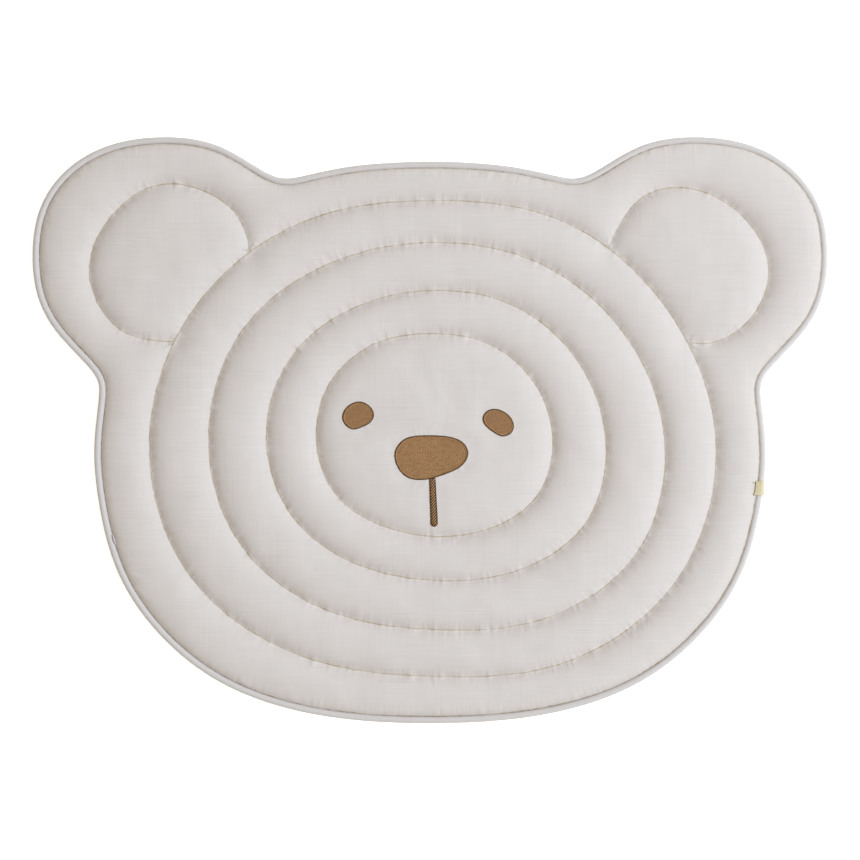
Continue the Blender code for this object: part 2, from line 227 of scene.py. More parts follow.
class PadSizes(bpy.types.PropertyGroup):
    """Sizes of the filled pad and its two cloths."""

    seam_top: distance("Seam height", "Height of the upper cloth where it is sewn through", 0.0050)
    seam_lift: distance("Seam lift", "Height of the lower cloth where it is sewn through", 0.0020)
    groove: distance(
        "Groove width", "Width of the flat bottom of a sewn channel, which holds the thread",
        0.0008)
    loft: distance("Loft", "How far the filling lifts the cloth above the seams", 0.0158)
    loft_reach: distance(
        "Loft reach", "How far from a seam the filling needs to rise to most of its loft",
        0.0172, 0.001)
    rim_roundness: bpy.props.FloatProperty(
        name="Rim roundness", description="The same for the cloth beside the piping",
        default=0.80, min=0.2, max=1)
    loft_roundness: bpy.props.FloatProperty(
        name="Loft roundness", description="Below 1 the cloth rises steeply from a seam, to a flat top",
        default=0.65, min=0.2, max=1)
    rim_top: distance("Rim height", "Height of the upper cloth where it meets the piping", 0.0068)
    rim_slack: distance(
        "Rim slack", "How much higher the upper cloth meets the piping on the upper right",
        0.0026)
    rim_lift: distance("Rim lift", "Height of the lower cloth where it meets the piping", 0.0050)
    rim_bulge: distance("Rim bulge", "How far the filled rim leans out over the piping at most", 0.0009)
    underside_roll: distance(
        "Underside roll", "Width over which the lower cloth curls up to a seam",
        0.0120, 0.001)
    dimple: distance("Face dimple", "How far the embroidery draws the cloth down", 0.0018)
    dimple_reach: distance(
        "Face dimple reach", "How far from the embroidery the cloth is drawn down",
        0.0140, 0.001)
    valley: distance("Valley", "How far from a seam the cloth still curves up gently", 0.0030, 0.0001)
    seam_pull: distance("Seam pull", "How unevenly the stitches draw the cloth down along a seam", 0.0030)
    gather: distance("Gathers", "Height of the small gathers along the seams", 0.00095)
    lump: distance("Lumps", "Height of the uneven places in the filling", 0.0012)
    fine_spacing: distance(
        "Fine spacing", "Distance between the points of the upper cloth beside the seams",
        0.0026, 0.001)
    under_spacing: distance(
        "Lower spacing", "Distance between the points of the lower cloth beside the seams",
        0.0060, 0.001)


class StitchSizes(bpy.types.PropertyGroup):
    """Sizes of the quilting stitches."""

    pitch: distance("Stitch pitch", "Distance from one stitch to the next", 0.0036, 0.001)
    length: distance("Stitch length", "Length of thread that shows in each stitch", 0.0027, 0.0005)
    thickness: distance("Thread thickness", "Thickness of the quilting thread", 0.00055, 0.0001)


class PipingSizes(bpy.types.PropertyGroup):
    """Sizes of the corded piping round the edge."""

    radius: distance("Piping radius", "Half the thickness of the covered cord", 0.0048, 0.001)
    height: distance("Piping height", "Height of the middle of the cord above the floor", 0.0065)
    unevenness: distance("Unevenness", "How far the cover swells and shrinks along the cord", 0.00012)
    spacing: distance(
        "Piping spacing", "Distance between the rings of points along the cord",
        0.0030, 0.001)


class EmbroiderySizes(bpy.types.PropertyGroup):
    """Sizes of the stitched eyes, nose and mouth."""

    thread: distance("Thread", "Thickness of the embroidery thread", 0.00052, 0.0001)
    border: distance("Border width", "Width of the satin stitch round each patch", 0.0042, 0.001)
    border_pitch: distance("Border pitch", "Distance between neighbouring border stitches", 0.00044, 0.0002)
    border_rise: distance("Border rise", "Height of the border's crest above the cloth", 0.0018)
    row_pitch: distance("Row pitch", "Distance between the rows of filling stitches", 0.00066, 0.0002)
    fill_length: distance("Fill stitch length", "Mean length of a filling stitch", 0.0034, 0.001)
    fill_rise: distance("Fill rise", "Height of a filling stitch above the cloth", 0.0010)
    fill_slant: bpy.props.FloatProperty(
        name="Fill slant", description="Direction of the filling stitches",
        default=math.radians(12), subtype="ANGLE", unit="ROTATION")
    strand: distance("Mouth strand", "Thickness of each twisted strand of the mouth", 0.0013, 0.0002)
    strand_pitch: distance(
        "Strand pitch", "Distance between neighbouring strands, straight across them",
        0.0026, 0.0002)
    strand_slant: bpy.props.FloatProperty(
        name="Strand slant", description="How far the strands of the mouth rise to the right",
        default=math.radians(51), subtype="ANGLE", unit="ROTATION")
    outline: distance("Mouth outline", "Thickness of the dark cord round the mouth", 0.0011, 0.0002)
    mouth_rise: distance("Mouth rise", "Height of the mouth's crest above the cloth", 0.0022)


class TapeSizes(bpy.types.PropertyGroup):
    """Sizes of the folded tape on the right edge."""

    middle: bpy.props.FloatProperty(
        name="Tape place", description="Where the middle of the tape lies along Y",
        default=-0.0805, subtype="DISTANCE", unit="LENGTH", precision=4)
    width: distance("Tape width", "Width of the tape", 0.0200, 0.001)
    fold: bpy.props.FloatProperty(
        name="Fold place", description="Where the outer fold of the tape lies along X",
        default=0.4631, subtype="DISTANCE", unit="LENGTH", precision=4)
    thickness: distance("Tape thickness", "Thickness of the woven tape", 0.0006, 0.0001)


class MatColours(bpy.types.PropertyGroup):
    """Colours of the mat's cloths and threads, and of the shade painted into its seams, embroidery and tape.
    """

    linen: colour("Linen", "Colour of the slub linen on both faces", (0.704, 0.642, 0.645))
    # painted shade: the dark warm colour painted deep in a sewn channel, where shade falls
    painted_crease_shade: colour("Crease", "Colour of the linen deep in a sewn channel", (0.34, 0.25, 0.11))
    # painted shade: the warmer colour painted on the linen beside a seam
    shade: colour("Seam shade", "Warmer colour of the linen beside a seam", (0.695, 0.615, 0.530))
    piping: colour("Piping", "Colour of the smooth cloth on the piping", (0.660, 0.612, 0.625))
    quilting: colour("Quilting thread", "Colour of the thread in the seams", (0.60, 0.52, 0.43))
    thread: colour("Embroidery thread", "Colour of the filling stitches", (0.48, 0.270, 0.138))
    # a dark thread colour, which also stands for painted shade in the embroidery's grooves, gaps and low
    # places
    dark_thread_and_shade: colour(
        "Outline thread", "Colour of the thread at the outline of the embroidery",
        (0.125, 0.064, 0.020))
    tape: colour("Tape", "Colour of the folded tape", (0.73, 0.635, 0.465))
    # painted shade with a darker warm tone, where the tape dips into the seam
    tape_end_shade_and_tone: colour("Tape end", "Colour of the tape where it dips into the seam", (0.51, 0.405, 0.205))
    floor: colour("Floor", "Colour of the studio floor", (0.96, 0.96, 0.96))


class StudioSettings(bpy.types.PropertyGroup):
    """The soft studio light and the camera straight above the mat."""

    key_power: bpy.props.FloatProperty(
        name="Key power", description="Power of the large soft light on the right",
        default=472, min=0, subtype="POWER", unit="POWER")
    key_size: bpy.props.FloatProperty(
        name="Key size", description="Width of the large soft light",
        default=4.0, min=0.1, subtype="DISTANCE", unit="LENGTH")
    fill_light: bpy.props.FloatProperty(
        name="Fill light", description="Strength of the light that comes from all round",
        default=0.374, min=0)
    view_height: bpy.props.FloatProperty(
        name="Camera height", description="Height of the camera above the floor",
        default=2.8161, min=0.1, subtype="DISTANCE", unit="LENGTH")
    lens: bpy.props.FloatProperty(
        name="Lens", description="Focal length of the camera in millimetres",
        default=85, min=1, unit="CAMERA")


def spline_through(knots, steps, closed=True):
    """Points along the cubic spline through the knots, so many to each span."""
    knots = np.array(knots, float)
    count = len(knots)
    after = np.roll(knots, -1, axis=0)
    span = np.sqrt(np.linalg.norm(after - knots, axis=1))
    before_span = np.roll(span, 1)
    slope = (after - knots) / span[:, None]
    turn = 6 * (slope - np.roll(slope, 1, axis=0))
    matrix = np.diag(2 * (before_span + span))
    for i in range(count):
        matrix[i, (i + 1) % count] += span[i]
        matrix[i, (i - 1) % count] += before_span[i]
    if not closed:
        for end in (0, -1):
            matrix[end] = 0
            matrix[end, end] = 1
            turn[end] = 0
    bend = np.linalg.solve(matrix, turn)
    points = []
    for i in range(count if closed else count - 1):
        j = (i + 1) % count
        for s in np.linspace(0, 1, steps, endpoint=False):
            r = 1 - s
            curve = ((r**3 - r) * bend[i] + (s**3 - s) * bend[j]) * span[i] ** 2 / 6
            points.append(r * knots[i] + s * knots[j] + curve)
    if not closed:
        points.append(knots[-1])
    return np.array(points)


def evenly_spaced(line, spacing, closed=True):
    """The same line with its points an even distance apart."""
    points = np.vstack([line, line[:1]]) if closed else line
    along = np.concatenate([[0], np.cumsum(np.linalg.norm(np.diff(points, axis=0), axis=1))])
    stops = np.linspace(0, along[-1], max(3, round(along[-1] / spacing)) + 1)
    even = np.stack([np.interp(stops, along, points[:, k]) for k in (0, 1)], axis=1)
    return even[:-1] if closed else even


def directions(line, closed=True):
    """The unit direction of the line at each of its points."""
    if closed:
        along = np.roll(line, -1, axis=0) - np.roll(line, 1, axis=0)
    else:
        along = np.gradient(line, axis=0)
    return along / np.linalg.norm(along, axis=1)[:, None]


def left_of(along):
    """Directions turned a quarter to the left, which is outward from a loop that runs clockwise."""
    return np.stack([-along[:, 1], along[:, 0]], axis=1)


def inside(places, loop):
    """True for each place that lies inside the closed line."""
    crossings = np.zeros(len(places), int)
    for (x0, y0), (x1, y1) in zip(loop, np.roll(loop, -1, axis=0)):
        spans = (y0 > places[:, 1]) != (y1 > places[:, 1])
        rise = y1 - y0 if abs(y1 - y0) > TINY else TINY
        crosses = places[:, 0] < x0 + (places[:, 1] - y0) / rise * (x1 - x0)
        crossings += spans & crosses
    return crossings % 2 == 1


def ripples(places, seed=0.0):
    """Smooth noise from about -1 to 1 at each place, one wave to two units."""
    shift = 17.3 * seed
    if places.shape[1] == 2:
        return np.array([noise.noise((x, y, shift)) for x, y in places])
    return np.array([noise.noise((x + shift, y, z)) for x, y, z in places])


def smooth_step(low, high, values):
    """0 below low, 1 above high and an even rise between them."""
    share = np.clip((values - low) / (high - low), 0, 1)
    return share * share * (3 - 2 * share)


def tree_of(points):
    """A search tree for the nearest of the points (x, y)."""
    tree = KDTree(len(points))
    for i, (x, y) in enumerate(points):
        tree.insert((x, y, 0), i)
    tree.balance()
    return tree


class SewnLine:
    """A line on the mat, and the place on it that is nearest to any other place."""

    def __init__(self, points, closed, seed):
        self.points = points
        self.closed = closed
        self.seed = seed
        whole = np.vstack([points, points[:1]]) if closed else points
        self.starts = whole[:-1]
        self.runs = whole[1:] - whole[:-1]
        self.lengths = np.linalg.norm(self.runs, axis=1)
        self.along = np.concatenate([[0], np.cumsum(self.lengths)])
        self.length = self.along[-1]
        self.whole = whole
        self.tree = tree_of(points)

    def nearest(self, places):
        """(distance, place along the line, side) for each place. Its side is 1 left of the line, else -1."""
        found = np.array([self.tree.find((x, y, 0))[1] for x, y in places])
        gap = np.full(len(places), np.inf)
        along = np.zeros(len(places))
        side = np.ones(len(places))
        for shift in (-1, 0):
            i = found + shift
            i = i % len(self.runs) if self.closed else np.clip(i, 0, len(self.runs) - 1)
            away = places - self.starts[i]
            share = np.clip(np.einsum("ij,ij->i", away, self.runs[i]) / self.lengths[i] ** 2, 0, 1)
            miss = np.linalg.norm(away - share[:, None] * self.runs[i], axis=1)
            closer = miss < gap
            gap[closer] = miss[closer]
            along[closer] = (self.along[i] + share * self.lengths[i])[closer]
            turn = self.runs[i][:, 0] * away[:, 1] - self.runs[i][:, 1] * away[:, 0]
            side[closer] = np.where(turn >= 0, 1.0, -1.0)[closer]
        return gap, along, side

    def at(self, along):
        """The places on the line at these distances along it."""
        along = along % self.length if self.closed else along
        return np.stack([np.interp(along, self.along, self.whole[:, k]) for k in (0, 1)], axis=1)

    def wrapped(self, along):
        """Distances along the line laid round a circle of its length, so that its two ends agree."""
        radius = self.length / (2 * math.pi)
        return np.stack([radius * np.cos(along / radius), radius * np.sin(along / radius)], axis=1)


def wandering(line, closed, seed, reach=0.0005, wave=0.022):
    """The line with the small sideways drift of cloth that is fed through a machine by hand."""
    patches = np.clip(2.2 * ripples(line / WAVES["drift patches"], seed + 0.3) - 0.3, 0.15, 1)
    fine = ripples(line / WAVES["fine drift"], seed + 0.5)
    drift = reach * (ripples(line / wave, seed) + 2.2 * patches * fine)
    if not closed:
        count = len(line)
        drift *= smooth_step(0, 8, np.minimum(np.arange(count), np.arange(count)[::-1]))
    return line + left_of(directions(line, closed)) * drift[:, None]


def joined_to(line, other):
    """The open line with both its ends eased onto the nearest points of the other."""
    line = line.copy()
    count = len(line)
    ease = 1 - smooth_step(0, 10, np.arange(count))
    for end, share in ((0, ease), (-1, ease[::-1])):
        nearest = np.argmin(np.linalg.norm(other - line[end], axis=1))
        line += share[:, None] * (other[nearest] - line[end])
    return line


def mouth_edge():
    """The edge of the mouth, clockwise: a slanted top along the nose and a round lower end."""
    half = MOUTH_TOP_WIDTH / 2
    top_left = Vector(MOUTH_TOP) + Vector((-half, -half * MOUTH_TOP_SLANT))
    top_right = Vector(MOUTH_TOP) + Vector((half, half * MOUTH_TOP_SLANT))
    end = Vector(MOUTH_END)
    arc = [
        end + MOUTH_END_RADIUS * Vector((math.cos(turn), -math.sin(turn)))
        for turn in np.linspace(0, math.pi, 17)
    ]
    return np.array([tuple(point) for point in (top_left, top_right, *arc)])


class MatShape:
    """Where the mat's lines run, and how high its two cloths stand at any place."""

    def __init__(self, pad, piping):
        self.pad = pad
        self.piping = piping
        right = [(x, y) for _, x, y in HALF_OUTLINE]
        left = [(-x, y) for x, y in right[-2:0:-1]]
        edge = evenly_spaced(spline_through(right + left, KNOT_STEPS), LINE_SPACING)
        out = left_of(directions(edge))
        self.edge = SewnLine(edge, True, 0)
        self.rim = SewnLine(edge - out * (2 * piping.radius + CLEARANCE), True, 1)
        self.cord = SewnLine(edge - out * piping.radius, True, 2)
        self.sewn = []
        for number, (_, distances) in enumerate(RINGS):
            line = evenly_spaced(self.ring(distances), LINE_SPACING)
            self.sewn.append(SewnLine(wandering(line, True, number + 1, 0.00040), True, number + 3))
        for number, (_, knots) in enumerate(EAR_ARCS):
            line = evenly_spaced(spline_through(knots, KNOT_STEPS, False), LINE_SPACING, False)
            line = wandering(line, False, number + 7, 0.00018)
            line = joined_to(line, self.sewn[0].points)
            self.sewn.append(SewnLine(line, False, number + 9))
        self.motifs = {}
        for name, middle, knots in FACE_PATCHES:
            line = evenly_spaced(spline_through(knots, KNOT_STEPS) + np.array(middle), LINE_SPACING / 2)
            self.motifs[name] = SewnLine(line, True, 12)
        self.motifs["mouth"] = SewnLine(evenly_spaced(mouth_edge(), LINE_SPACING / 2), True, 13)

    @staticmethod
    def ring(distances):
        """A closed sewn line through points at even turns about the rings' middle."""
        turns = np.arange(len(distances)) * 2 * math.pi / len(distances)
        knots = [
            (RING_MIDDLE[0] + d * math.cos(t), RING_MIDDLE[1] + d * math.sin(t))
            for t, d in zip(turns, distances)
        ]
        return spline_through(knots, KNOT_STEPS * 2)

    def gathers(self, line, survey, kind):
        """Small gathers of cloth that run away from a line of stitches and fade out."""
        share, spacing, reach = GATHERS[kind]
        height = share * self.pad.gather
        gap, along, side = survey
        rise = np.zeros(len(gap))
        near = np.flatnonzero((gap < 7 * reach) & (gap > TINY))
        if not len(near):
            return rise
        gap, along, side = gap[near], along[near], side[near]
        lean = 1.1 * ripples(line.wrapped(along) / WAVES["gather slant"], line.seed)
        round_line = line.wrapped(along + lean * gap)
        depth = (gap / (5 * reach) + 2.7 * side)[:, None]
        folds = 0.8 * ripples(np.hstack([round_line / spacing, depth]), line.seed)
        folds += 0.9 * ripples(np.hstack([round_line / (2.3 * spacing), depth]), line.seed + 1)
        patches = ripples(np.hstack([round_line / WAVES["gather patches"], depth]), line.seed + 2)
        fade = gap / reach * np.exp(1 - gap / reach)
        rise[near] = height * folds * fade * np.clip(0.30 + 1.3 * patches, 0.10, 1.4)
        return rise

    def pulls(self, line, gap, along):
        """Where the stitches are slacker, so that the cloth isn't drawn down as far."""
        rise = np.zeros(len(gap))
        near = np.flatnonzero(gap < PULL_REACH)
        round_line = line.wrapped(along[near])
        slack = 0.30 + 0.9 * ripples(round_line / WAVES["slack stitches"], line.seed + 3)
        slack += 0.8 * ripples(round_line / WAVES["single stitches"], line.seed + 4)
        rise[near] = self.pad.seam_pull * np.clip(slack, 0, 1.3) * np.exp(-gap[near] / 0.0042)
        return rise

    def top(self, places):
        """The height of the upper cloth at each place."""
        pad = self.pad
        rim = self.rim.nearest(places)
        fill = (1 - np.exp(-rim[0] / pad.loft_reach)) ** pad.rim_roundness
        gathers = self.gathers(self.rim, rim, "rim")
        for line in self.sewn:
            survey = line.nearest(places)
            clear = np.maximum(survey[0] - pad.groove / 2, 0)
            eased = np.hypot(clear, pad.valley) - pad.valley
            fill *= (1 - np.exp(-eased / pad.loft_reach)) ** pad.loft_roundness
            gathers += self.gathers(line, (clear, *survey[1:]), "seam")
            gathers += self.pulls(line, clear, survey[1])
        base = pad.seam_top + (self.rim_height(places) - pad.seam_top) * np.exp(-rim[0] / pad.loft_reach)
        height = base + pad.loft * fill
        dimple = np.zeros(len(places))
        for line in self.motifs.values():
            gap, along, side = line.nearest(places)
            gap = np.where(side > 0, gap, 0)
            dimple = np.maximum(dimple, pad.dimple * np.exp(-((gap / pad.dimple_reach) ** 2)))
            gathers += self.gathers(line, (gap, along, side), "face")
        lumps = ripples(places / WAVES["lumps"], 21) + 0.35 * ripples(places / WAVES["small lumps"], 22)
        height += pad.lump * lumps * fill
        for start, end, half_width, rise in FOLDS:
            height += rise * self.fold(places, np.array(start), np.array(end), half_width)
        return height - dimple + gathers

    @staticmethod
    def fold(places, start, end, half_width):
        """1 along a soft fold from start to end, falling to 0 beside it and past its ends."""
        run = end - start
        length = np.linalg.norm(run)
        ahead = (places - start) @ run / length
        beside = (places - start) @ np.array([-run[1], run[0]]) / length
        past = np.maximum(np.maximum(-ahead, ahead - length), 0)
        return np.exp(-((beside / half_width) ** 2) - (past / (0.3 * length)) ** 2)

    def underside(self, places):
        """The height of the lower cloth at each place."""
        pad = self.pad
        height = pad.rim_lift * self.roll(self.rim.nearest(places)[0])
        for line in self.sewn:
            survey = line.nearest(places)
            height = np.maximum(height, pad.seam_lift * self.roll(survey[0]))
        return height

    def roll(self, gap):
        """1 on a sewn line, falling to 0 where the lower cloth lies flat on the floor."""
        return np.clip(1 - gap / self.pad.underside_roll, 0, 1) ** 2

    def rim_height(self, places):
        """How high the upper cloth meets the piping beside each place."""
        slack = smooth_step(-0.35, 0.45, places @ np.array(SLACK_WAY))
        return self.pad.rim_top + self.pad.rim_slack * slack

    def lean(self, places):
        """How far each place of the upper cloth moves out over the piping."""
        gap, along, _ = self.rim.nearest(places)
        amount = np.zeros(len(places))
        near = np.flatnonzero(gap < LEAN_REACH)
        round_rim = self.rim.wrapped(along[near])
        patches = np.clip(0.45 + 1.2 * ripples(round_rim / WAVES["scallop patches"], 33), 0.15, 1)
        small = ripples(round_rim / WAVES["small scallops"], 32)
        scallops = 0.7 * ripples(round_rim / WAVES["scallops"], 31) + 1.1 * patches * small
        reach = smooth_step(-0.0035, 0.0025, gap[near]) * (1 - smooth_step(0.004, 0.026, gap[near]))
        above = np.minimum(self.rim_height(places[near]) - self.piping.height, 0.95 * self.piping.radius)
        hollow = self.piping.radius + CLEARANCE - np.sqrt(self.piping.radius**2 - above**2)
        amount[near] = self.pad.rim_bulge * np.clip(scallops, -0.15, 1.0) * reach
        amount[near] += hollow * (1 - smooth_step(0, LEAN_FADE, gap[near]))
        ahead = self.rim.at(along + LINE_SPACING / 2) - self.rim.at(along - LINE_SPACING / 2)
        ahead /= np.maximum(np.linalg.norm(ahead, axis=1), TINY)[:, None]
        return left_of(ahead) * amount[:, None]

    def nearest_seam(self, places):
        """(distance to the nearest sewn line or the rim, that line's own coordinates) at each place."""
        best = np.full(len(places), np.inf)
        round_line = np.zeros((len(places), 3))
        for line in [self.rim, *self.sewn]:
            gap, along, side = line.nearest(places)
            # At the rim the distance is counted short, so that the painted crease shade and the fine relief
            # reach further there
            gap = 0.6 * gap if line is self.rim else gap
            closer = gap < best
            best[closer] = gap[closer]
            round_line[closer, :2] = line.wrapped(along[closer])
            round_line[closer, 2] = 0.02 * line.seed + 0.005 * side[closer]
        return best, round_line


def even_grid(loop, spacing):
    """(places spread evenly over the loop's box, True for each fourth of them)"""
    low, high = loop.min(axis=0), loop.max(axis=0)
    rise = spacing * math.sqrt(3) / 2
    rows = np.arange(int((high[1] - low[1]) / rise) + 1)
    columns = np.arange(int((high[0] - low[0]) / spacing) + 2)
    column, row = np.meshgrid(columns, rows)
    x = low[0] + (column + 0.5 * (row % 2)) * spacing
    coarse = (row % 2 == 0) & (column % 2 == 0)
    return np.stack([x.ravel(), (low[1] + row * rise).ravel()], axis=1), coarse.ravel()


def cloth_net(loop, lines, detail, rows, spacing, fine_reach):
    """(places, faces) of cloth inside a loop, finest beside the lines and with its edges along them."""
    every = [loop, *lines]
    kept = []
    for line in every:
        side_way = left_of(directions(line.points, line.closed))
        for away in rows:
            for way in (1, -1):
                row = line.points + side_way * away * way
                clear = inside(row, loop.points)
                for other in every:
                    clear &= other.nearest(row)[0] > 0.85 * away
                kept.append(row[clear])
    grid, coarse = even_grid(loop.points, spacing)
    grid_inside = inside(grid, loop.points)
    grid, coarse = grid[grid_inside], coarse[grid_inside]
    near_sewn = nearest_of(every, grid)
    near_any = np.minimum(near_sewn, nearest_of(detail, grid)) if detail else near_sewn
    clear = near_sewn > max(rows, default=0) + 0.6 * spacing
    kept.append(grid[clear & (coarse | (near_any < fine_reach))])
    places, edges = [], []
    for line in every:
        first = len(places)
        places.extend(line.points)
        count = len(line.points)
        edges.extend((first + i, first + i + 1) for i in range(count - 1))
        if line.closed:
            edges.append((first + count - 1, first))
    places.extend(np.concatenate(kept))
    made = delaunay_2d_cdt([Vector(place) for place in places], edges, [], 1, 1e-7)
    return np.array([tuple(place) for place in made[0]]), made[2]


def nearest_of(lines, places):
    """How far each place is from the nearest point of any of the lines."""
    tree = tree_of(np.concatenate([line.points for line in lines]))
    return np.array([tree.find((x, y, 0))[2] for x, y in places])


def mesh_from(name, work):
    """The finished mesh of a bmesh, which is freed."""
    mesh = bpy.data.meshes.new(name)
    work.to_mesh(mesh)
    work.free()
    return mesh


def sewn_solid(name, top, bottom):
    """A closed mesh between two cloths that share a rim. Each is places (x, y, z) and faces."""
    work = bmesh.new()
    open_edges = []
    for places, faces in (top, bottom):
        corners = [work.verts.new(place) for place in places]
        made = [work.faces.new([corners[i] for i in face]) for face in faces]
        open_edges += [e for f in made for e in f.edges if len(e.link_faces) == 1]
    bmesh.ops.bridge_loops(work, edges=open_edges)
    bmesh.ops.triangulate(work, faces=[f for f in work.faces if len(f.verts) > 3])
    bmesh.ops.recalc_face_normals(work, faces=work.faces)
    return mesh_from(name, work)


def with_height(places, heights):
    """Places (x, y) with their heights, as (x, y, z)."""
    return np.column_stack([places, heights])


def stored_on(mesh, name, values):
    """Stores one number or one vector on each point of a mesh, for its material to read."""
    kind, field = ("FLOAT", "value") if values.ndim == 1 else ("FLOAT_VECTOR", "vector")
    mesh.attributes.new(name, kind, "POINT").data.foreach_set(field, values.ravel())


def swept(name, runs, sides, closed=False):
    """A mesh of round cords. Each run is its points (x, y, z) and half thickness at each point."""
    curve = bpy.data.curves.new(name, "CURVE")
    curve.dimensions = "3D"
    curve.bevel_depth = 1.0
    curve.bevel_resolution = sides
    curve.use_fill_caps = not closed
    for points, widths in runs:
        spline = curve.splines.new("POLY")
        spline.points.add(len(points) - 1)
        spline.points.foreach_set("co", np.column_stack([points, np.ones(len(points))]).ravel())
        spline.points.foreach_set("radius", widths)
        spline.use_cyclic_u = closed
    holder = bpy.data.objects.new(name, curve)
    mesh = bpy.data.meshes.new_from_object(holder)
    bpy.data.objects.remove(holder)
    bpy.data.curves.remove(curve)
    mesh.shade_smooth()
    return mesh


def threads(name, runs, tones, sides=0):
    """A mesh of lengths of thread, each with its own tone from 0 to 1 and closed at both ends."""
    mesh = swept(name, runs, sides)
    around = 4 + 2 * sides
    counts = [around * (len(points) + 2) for points, _ in runs]
    if sum(counts) != len(mesh.vertices):
        raise RuntimeError(f"{name}: {len(mesh.vertices)} points of thread, not {sum(counts)}")
    stored_on(mesh, "tone", np.repeat(np.array(tones, np.float32), counts))
    work = bmesh.new()
    work.from_mesh(mesh)
    bmesh.ops.remove_doubles(work, verts=work.verts, dist=1e-7)
    bmesh.ops.recalc_face_normals(work, faces=work.faces)
    work.to_mesh(mesh)
    work.free()
    mesh.shade_smooth()
    return mesh


def joined(name, meshes):
    """One mesh of several, each with its own material in order."""
    work = bmesh.new()
    for number, mesh in enumerate(meshes):
        first = len(work.faces)
        work.from_mesh(mesh)
        work.faces.ensure_lookup_table()
        for face in work.faces[first:]:
            face.material_index = number
    for mesh in meshes:
        bpy.data.meshes.remove(mesh)
    return mesh_from(name, work)


def placed(name, mesh, materials, slot, *nodes):
    """The finished piece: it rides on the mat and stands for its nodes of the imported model."""
    for material in materials:
        mesh.materials.append(material)
    piece = bpy.data.objects.new(name, mesh)
    bpy.context.scene.collection.objects.link(piece)
    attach(piece, BODY)
    if nodes:
        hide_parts(*nodes)
    return piece


class Reading:
    """A number that varies over a surface. Arithmetic on readings adds Math nodes."""

    def __init__(self, finish, socket):
        self.finish = finish
        self.socket = socket

    def __add__(self, other):
        return self.finish.maths("ADD", self, other)

    __radd__ = __add__

    def __sub__(self, other):
        return self.finish.maths("SUBTRACT", self, other)

    def __rsub__(self, other):
        return self.finish.maths("SUBTRACT", other, self)

    def __mul__(self, other):
        return self.finish.maths("MULTIPLY", self, other)

    __rmul__ = __mul__


class Finish:
    """A procedural material and the nodes that make it."""

    def __init__(self, name, **constants):
        self.material = bpy.data.materials.new(name)
        self.material.use_nodes = True
        self.tree = self.material.node_tree
        self.shader = self.tree.nodes["Principled BSDF"]
        for socket, value in constants.items():
            self.shader.inputs[socket.replace("_", " ")].default_value = value

    def node(self, kind, settings=None, values=None, result=None):
        """Adds a node: its settings first, then the values or links of its sockets."""
        made = self.tree.nodes.new(kind)
        for name, value in (settings or {}).items():
            setattr(made, name, value)
        for name, value in (values or {}).items():
            socket = self.socket(made.inputs, name)
            if isinstance(value, Reading):
                self.tree.links.new(value.socket, socket)
            else:
                socket.default_value = value
        return Reading(self, self.socket(made.outputs, result))

    @staticmethod
    def socket(sockets, name):
        """The usable socket of that name or number, or the first one."""
        if isinstance(name, int):
            return sockets[name]
        usable = [s for s in sockets if s.enabled]
        return next(s for s in usable if name in (None, s.name, s.identifier))

    def maths(self, operation, *terms):
        """A Math node on one to three readings or numbers."""
        return self.node("ShaderNodeMath", {"operation": operation}, dict(enumerate(terms)), "Value")

    def eased(self, reading, low, high):
        """0 where the reading is at low or past it, 1 at high or past it, and an even rise between."""
        values = {"Value": reading, "From Min": low, "From Max": high, "To Min": 0.0, "To Max": 1.0}
        return self.node("ShaderNodeMapRange", {"interpolation_type": "SMOOTHSTEP"}, values, "Result")

    def mixed(self, first, second, share):
        """Two colours mixed by a share from 0 to 1."""
        settings = {"data_type": "RGBA", "blend_type": "MIX"}
        values = {"A": as_colour(first), "B": as_colour(second), "Factor": share}
        return self.node("ShaderNodeMix", settings, values, "Result")

    def place(self):
        """The place on the piece, in metres."""
        return self.node("ShaderNodeTexCoord", None, None, "Object")

    def vector_maths(self, operation, first, second):
        """A Vector Math node on two places, or on a place and three numbers."""
        return self.node("ShaderNodeVectorMath", {"operation": operation}, {0: first, 1: second}, "Vector")

    def clouds(self, place, waves, detail=2.0, roughness=0.5):
        """Noise from 0 to 1 at the place. waves is its waves per metre, or those along each axis."""
        waves = waves if isinstance(waves, tuple) else (waves, waves, waves)
        place = self.vector_maths("MULTIPLY", place, waves)
        values = {"Vector": place, "Scale": 1.0, "Detail": detail, "Roughness": roughness}
        return self.node("ShaderNodeTexNoise", {"noise_dimensions": "3D"}, values, "Fac")

    def axis(self, place, name):
        """One coordinate of the place."""
        return self.node("ShaderNodeSeparateXYZ", None, {"Vector": place}, name)

    def stored(self, name, result):
        """A value stored on the mesh."""
        return self.node("ShaderNodeAttribute", {"attribute_name": name}, None, result)

    def wave(self, reading, pitch):
        """A sine wave of that pitch, from -1 to 1."""
        return self.maths("SINE", reading * (2 * math.pi / pitch))

    def finished(self, colour, height=None, roughness=None):
        """Links the colour, a relief in metres and the roughness to the shader."""
        inputs = self.shader.inputs
        self.tree.links.new(colour.socket, inputs["Base Color"])
        if roughness is not None:
            self.tree.links.new(roughness.socket, inputs["Roughness"])
        if height is not None:
            values = {"Height": height, "Distance": 1.0, "Strength": 1.0}
            bump = self.node("ShaderNodeBump", None, values, "Normal")
            self.tree.links.new(bump.socket, inputs["Normal"])
        return self.material


def as_colour(value):
    """A reading as it is, or three numbers with a fourth for a colour socket."""
    return value if isinstance(value, Reading) else (*value, 1.0)


def tinted(colour, share):
    """The colour lighter or darker by a share."""
    return tuple(min(1.0, channel * share) for channel in colour)


